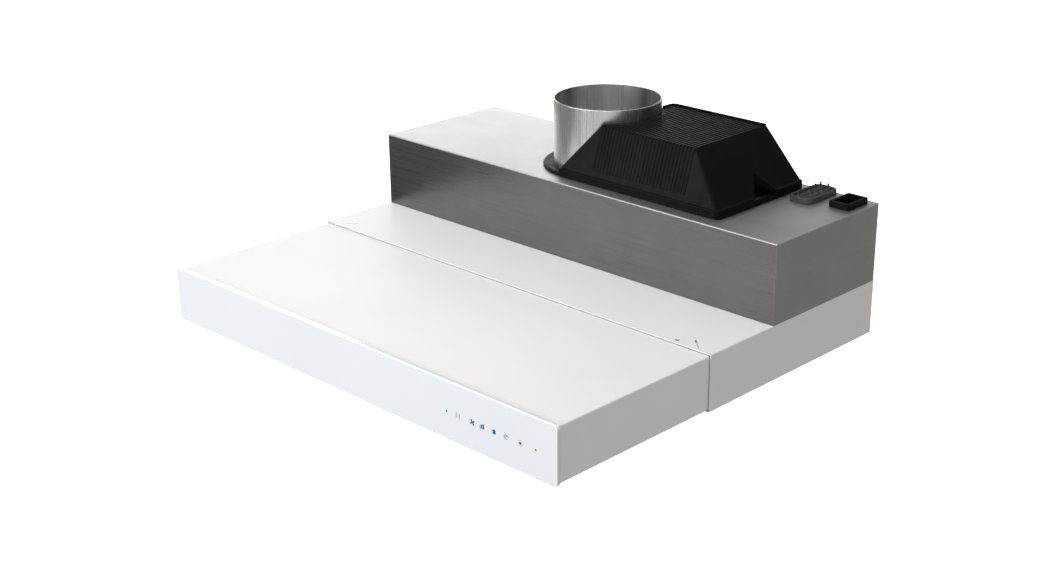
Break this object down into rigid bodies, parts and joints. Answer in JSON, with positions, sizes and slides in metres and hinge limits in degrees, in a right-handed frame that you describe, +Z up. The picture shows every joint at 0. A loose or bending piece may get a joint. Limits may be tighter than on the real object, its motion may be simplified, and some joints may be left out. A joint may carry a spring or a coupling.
{
  "type": "telescopic cooker hood",
  "caption": "Low white kitchen hood with slide-out glass-fronted drawer, steel plenum box, round duct collar with motor damper, and filters underneath.",
  "frame": {"origin": "middle of the footprint with the drawer pulled out, on the underside", "axes": "+X to the right seen from the front, -Y towards the glass front, +Z up"},
  "size_m": [0.598, 0.507, 0.232],
  "materials": {
    "white_paint": "satin powder coat on steel sheet",
    "stainless": "brushed stainless sheet",
    "galvanised": "galvanised steel sheet, dull spangle",
    "bright_steel": "bright zinc",
    "filter_aluminium": "satin aluminium",
    "white_glass": "polished toughened glass, back-painted white, so it is opaque",
    "black_plastic": "moulded, satin",
    "grey_rubber": "moulded matt rubber",
    "black_rubber": "foam and lip seal rubber",
    "white_plastic": "moulded acetal",
    "circuit_board": "solder mask on glass-fibre board",
    "lamp_lens": "opal diffuser",
    "brass": "turned brass"
  },
  "bodies": {
    "housing": {"rear_shell": "white_paint", "back_panel": "galvanised", "plenum_box": "stainless", "bay_partition": "galvanised", "intake_frame": "galvanised", "filter_hinge_rod": "bright_steel", "filter_magnet_left": "grey_rubber", "filter_magnet_right": "grey_rubber", "rail_left": "galvanised", "rail_right": "galvanised", "duct_collar": "stainless", "collar_flange": "black_plastic", "damper_bush_left": "white_plastic", "damper_bush_right": "white_plastic", "actuator_bracket": "galvanised", "bracket_screw_front": "bright_steel", "bracket_screw_rear": "bright_steel", "actuator_motor": "black_plastic", "actuator_cover": "black_plastic", "control_board": "circuit_board", "board_standoff_1": "brass", "board_standoff_2": "brass", "board_standoff_3": "brass", "board_standoff_4": "brass", "power_supply": "black_plastic", "relay_block": "white_plastic", "terminal_block": "grey_rubber", "cable_gland": "grey_rubber", "power_inlet": "black_plastic", "inlet_pin_live": "brass", "inlet_pin_neutral": "brass", "inlet_pin_earth": "brass"},
    "drawer": {"drawer_shell": "white_paint", "glass_front": "white_glass", "glass_gasket": "black_rubber", "front_carrier": "galvanised", "touch_board": "circuit_board", "drawer_pan": "white_paint", "lamp_housing": "white_plastic", "led_board": "circuit_board", "lamp_lens": "lamp_lens", "runner_left": "white_plastic", "runner_right": "white_plastic"},
    "damper": {"damper_shaft": "bright_steel", "damper_flap": "galvanised", "flap_seal": "black_rubber", "driven_gear": "white_plastic"},
    "pinion": {"motor_pinion": "brass"},
    "filter_left": {"filter_frame_left": "filter_aluminium", "filter_mesh_left": "filter_aluminium", "filter_grip_left": "black_plastic"},
    "filter_right": {"filter_frame_right": "filter_aluminium", "filter_mesh_right": "filter_aluminium", "filter_grip_right": "black_plastic"}
  },
  "joints": [
    {"name": "drawer_slide", "type": "slide", "parent": "housing", "child": "drawer", "axis": [0, 1, 0], "range_m": [0, 0.215]},
    {"name": "damper_hinge", "type": "hinge", "parent": "housing", "child": "damper", "pos_m": [-0.0155, 0.163, 0.165], "axis": [1, 0, 0], "range_deg": [0, 90]},
    {"name": "pinion_spin", "type": "hinge", "parent": "housing", "child": "pinion", "pos_m": [0.08, 0.163, 0.181], "axis": [1, 0, 0], "range_deg": [-155, 5]},
    {"name": "filter_left_hinge", "type": "hinge", "parent": "housing", "child": "filter_left", "pos_m": [-0.1585, 0.24, 0.0685], "axis": [-1, 0, 0], "range_deg": [-80, 0]},
    {"name": "filter_right_hinge", "type": "hinge", "parent": "housing", "child": "filter_right", "pos_m": [0.0805, 0.24, 0.0685], "axis": [-1, 0, 0], "range_deg": [-80, 0]}
  ],
  "couplings": [
    {"joint": "pinion_spin", "follows": "damper_hinge", "ratio": -1.6667}
  ]
}
